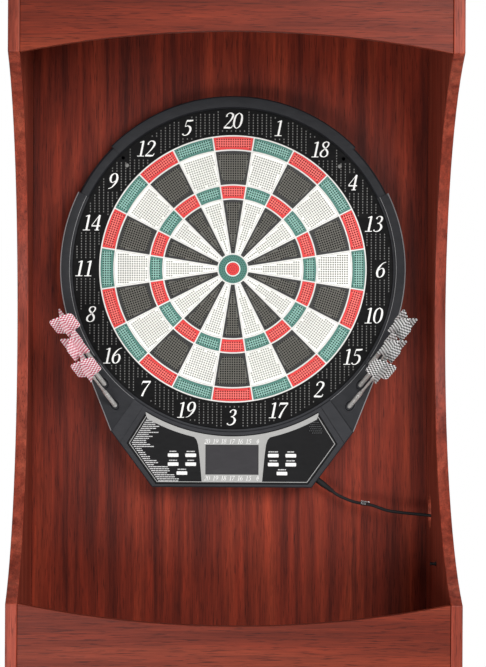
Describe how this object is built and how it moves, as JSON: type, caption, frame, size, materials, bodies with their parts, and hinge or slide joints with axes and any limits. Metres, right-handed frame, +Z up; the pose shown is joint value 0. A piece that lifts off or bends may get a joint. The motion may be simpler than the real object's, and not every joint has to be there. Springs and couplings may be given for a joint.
{
  "type": "dart board cabinet",
  "caption": "Tall floor-standing wood-laminate cabinet with curved side cut-outs and an electronic dartboard hung in its recess, with darts in its side holders.",
  "frame": {"origin": "on the floor under the middle of the cabinet, at the middle of the bounding box without the power lead", "axes": "+X to the right seen from the front, +Y to the back wall, +Z up"},
  "size_m": [0.719, 0.4093, 2.2001],
  "materials": {
    "laminate": "satin",
    "back_laminate": "satin",
    "shell": "fine texture",
    "black_plastic": "matte",
    "wire_white": "gloss",
    "segment_red": "satin",
    "segment_green": "satin",
    "segment_white": "satin",
    "segment_black": "satin",
    "silver_print": "satin metallic ink",
    "white_print": "matte ink",
    "button_white": "satin",
    "display_glass": "gloss",
    "circuit": "matte",
    "rubber": "matte",
    "metal": "satin",
    "dart_metal": "knurled, bright",
    "flight_pink": "gloss film",
    "flight_black": "gloss film",
    "raw_board": "raw cut edge"
  },
  "bodies": {
    "cabinet": {"side_panel_left": "laminate", "side_panel_right": "laminate", "back_panel": "back_laminate", "top_panel": "laminate", "header_panel": "laminate", "lower_front_panel": "laminate", "recess_floor": "laminate", "base_panel": "laminate", "levelling_foot_1": "black_plastic", "levelling_foot_2": "black_plastic", "levelling_foot_3": "black_plastic", "levelling_foot_4": "black_plastic", "cord_peg": "black_plastic", "front_bezel": "shell", "rear_housing": "shell", "hanger_screw_1": "metal", "hanger_screw_2": "metal", "spider": "wire_white", "catch_ring": "black_plastic", "rubber_sheet": "rubber", "sensor_board": "circuit", "console_panel": "black_plastic", "display_lens": "display_glass", "display_module": "black_plastic", "control_board": "circuit", "speaker": "metal", "power_socket": "black_plastic", "power_plug": "rubber", "power_cord": "rubber", "cord_tie": "rubber", "wall_adapter": "black_plastic"},
    "target_double": {"segments_double": "segment_red"},
    "target_outer_single": {"segments_outer_single": "segment_white"},
    "target_triple": {"segments_triple": "segment_red"},
    "target_inner_single": {"segments_inner_single": "segment_white"},
    "target_outer_bull": {"segment_outer_bull": "segment_green"},
    "target_inner_bull": {"segment_inner_bull": "segment_red"},
    "key_1": {"button_1": "button_white"},
    "key_2": {"button_2": "button_white"},
    "key_3": {"button_3": "button_white"},
    "key_4": {"button_4": "button_white"},
    "key_5": {"button_5": "button_white"},
    "key_6": {"button_6": "button_white"},
    "key_7": {"button_7": "button_white"},
    "key_8": {"button_8": "button_white"},
    "key_9": {"button_9": "button_white"},
    "key_10": {"button_10": "button_white"},
    "left_dart_1": {"dart_left_1": "dart_metal", "flight_left_1": "flight_pink"},
    "left_dart_2": {"dart_left_2": "dart_metal", "flight_left_2": "flight_pink"},
    "left_dart_3": {"dart_left_3": "dart_metal", "flight_left_3": "flight_pink"},
    "right_dart_1": {"dart_right_1": "dart_metal", "flight_right_1": "flight_black"},
    "right_dart_2": {"dart_right_2": "dart_metal", "flight_right_2": "flight_black"},
    "right_dart_3": {"dart_right_3": "dart_metal", "flight_right_3": "flight_black"}
  },
  "joints": [
    {"name": "press_double", "type": "slide", "parent": "cabinet", "child": "target_double", "axis": [0, 1, 0], "range_m": [0, 0.001], "stiffness_N_per_m": 1500},
    {"name": "press_outer_single", "type": "slide", "parent": "cabinet", "child": "target_outer_single", "axis": [0, 1, 0], "range_m": [0, 0.001], "stiffness_N_per_m": 1500},
    {"name": "press_triple", "type": "slide", "parent": "cabinet", "child": "target_triple", "axis": [0, 1, 0], "range_m": [0, 0.001], "stiffness_N_per_m": 1500},
    {"name": "press_inner_single", "type": "slide", "parent": "cabinet", "child": "target_inner_single", "axis": [0, 1, 0], "range_m": [0, 0.001], "stiffness_N_per_m": 1500},
    {"name": "press_outer_bull", "type": "slide", "parent": "cabinet", "child": "target_outer_bull", "axis": [0, 1, 0], "range_m": [0, 0.001], "stiffness_N_per_m": 1500},
    {"name": "press_inner_bull", "type": "slide", "parent": "cabinet", "child": "target_inner_bull", "axis": [0, 1, 0], "range_m": [0, 0.001], "stiffness_N_per_m": 1500},
    {"name": "press_button_1", "type": "slide", "parent": "cabinet", "child": "key_1", "axis": [0, 1, 0], "range_m": [0, 0.0015], "stiffness_N_per_m": 600},
    {"name": "press_button_2", "type": "slide", "parent": "cabinet", "child": "key_2", "axis": [0, 1, 0], "range_m": [0, 0.0015], "stiffness_N_per_m": 600},
    {"name": "press_button_3", "type": "slide", "parent": "cabinet", "child": "key_3", "axis": [0, 1, 0], "range_m": [0, 0.0015], "stiffness_N_per_m": 600},
    {"name": "press_button_4", "type": "slide", "parent": "cabinet", "child": "key_4", "axis": [0, 1, 0], "range_m": [0, 0.0015], "stiffness_N_per_m": 600},
    {"name": "press_button_5", "type": "slide", "parent": "cabinet", "child": "key_5", "axis": [0, 1, 0], "range_m": [0, 0.0015], "stiffness_N_per_m": 600},
    {"name": "press_button_6", "type": "slide", "parent": "cabinet", "child": "key_6", "axis": [0, 1, 0], "range_m": [0, 0.0015], "stiffness_N_per_m": 600},
    {"name": "press_button_7", "type": "slide", "parent": "cabinet", "child": "key_7", "axis": [0, 1, 0], "range_m": [0, 0.0015], "stiffness_N_per_m": 600},
    {"name": "press_button_8", "type": "slide", "parent": "cabinet", "child": "key_8", "axis": [0, 1, 0], "range_m": [0, 0.0015], "stiffness_N_per_m": 600},
    {"name": "press_button_9", "type": "slide", "parent": "cabinet", "child": "key_9", "axis": [0, 1, 0], "range_m": [0, 0.0015], "stiffness_N_per_m": 600},
    {"name": "press_button_10", "type": "slide", "parent": "cabinet", "child": "key_10", "axis": [0, 1, 0], "range_m": [0, 0.0015], "stiffness_N_per_m": 600},
    {"name": "pull_left_dart_1", "type": "slide", "parent": "cabinet", "child": "left_dart_1", "axis": [-0.4, -0.7309, 0.553], "range_m": [0, 0.12]},
    {"name": "pull_left_dart_2", "type": "slide", "parent": "cabinet", "child": "left_dart_2", "axis": [-0.4, -0.7309, 0.553], "range_m": [0, 0.12]},
    {"name": "pull_left_dart_3", "type": "slide", "parent": "cabinet", "child": "left_dart_3", "axis": [-0.4, -0.7309, 0.553], "range_m": [0, 0.12]},
    {"name": "pull_right_dart_1", "type": "slide", "parent": "cabinet", "child": "right_dart_1", "axis": [0.4, -0.7309, 0.553], "range_m": [0, 0.12]},
    {"name": "pull_right_dart_2", "type": "slide", "parent": "cabinet", "child": "right_dart_2", "axis": [0.4, -0.7309, 0.553], "range_m": [0, 0.12]},
    {"name": "pull_right_dart_3", "type": "slide", "parent": "cabinet", "child": "right_dart_3", "axis": [0.4, -0.7309, 0.553], "range_m": [0, 0.12]}
  ]
}
